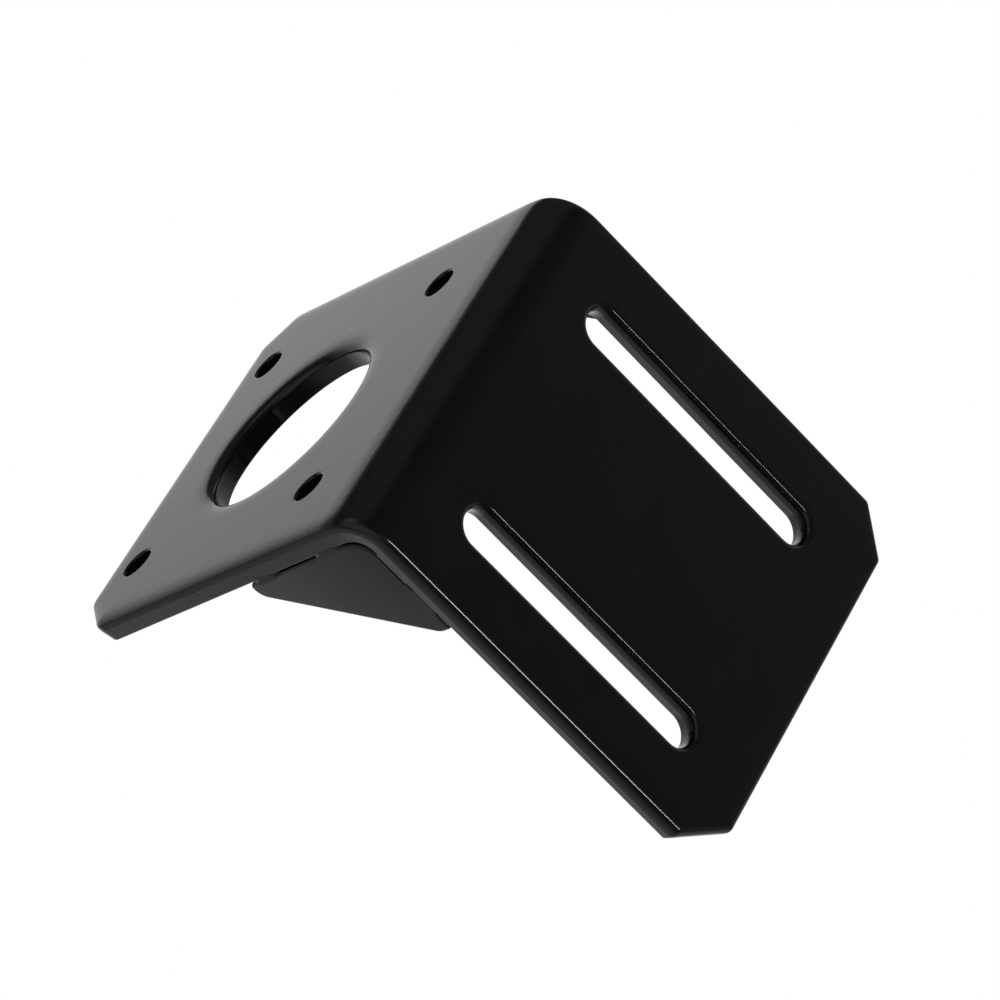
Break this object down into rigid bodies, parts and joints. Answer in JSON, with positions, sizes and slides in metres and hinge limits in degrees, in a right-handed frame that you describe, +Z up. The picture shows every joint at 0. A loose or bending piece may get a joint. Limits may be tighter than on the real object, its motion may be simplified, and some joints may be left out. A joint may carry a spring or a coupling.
{
  "type": "l bracket",
  "caption": "Folded steel L bracket for a small stepper motor, with a piloted motor plate, a slotted base and welded corner gussets.",
  "frame": {"origin": "on the underside of the base plate, at the middle of the bracket's outline seen from above", "axes": "+Z up along the motor plate, +Y from the motor face out along the base plate, +X along the fold"},
  "size_m": [0.0494, 0.0538, 0.0515],
  "materials": {
    "black_coat": "satin black powder coat on steel"
  },
  "bodies": {
    "root": {"folded_plate": "black_coat", "left_gusset": "black_coat", "right_gusset": "black_coat", "left_weld_beads": "black_coat", "right_weld_beads": "black_coat"}
  },
  "joints": []
}
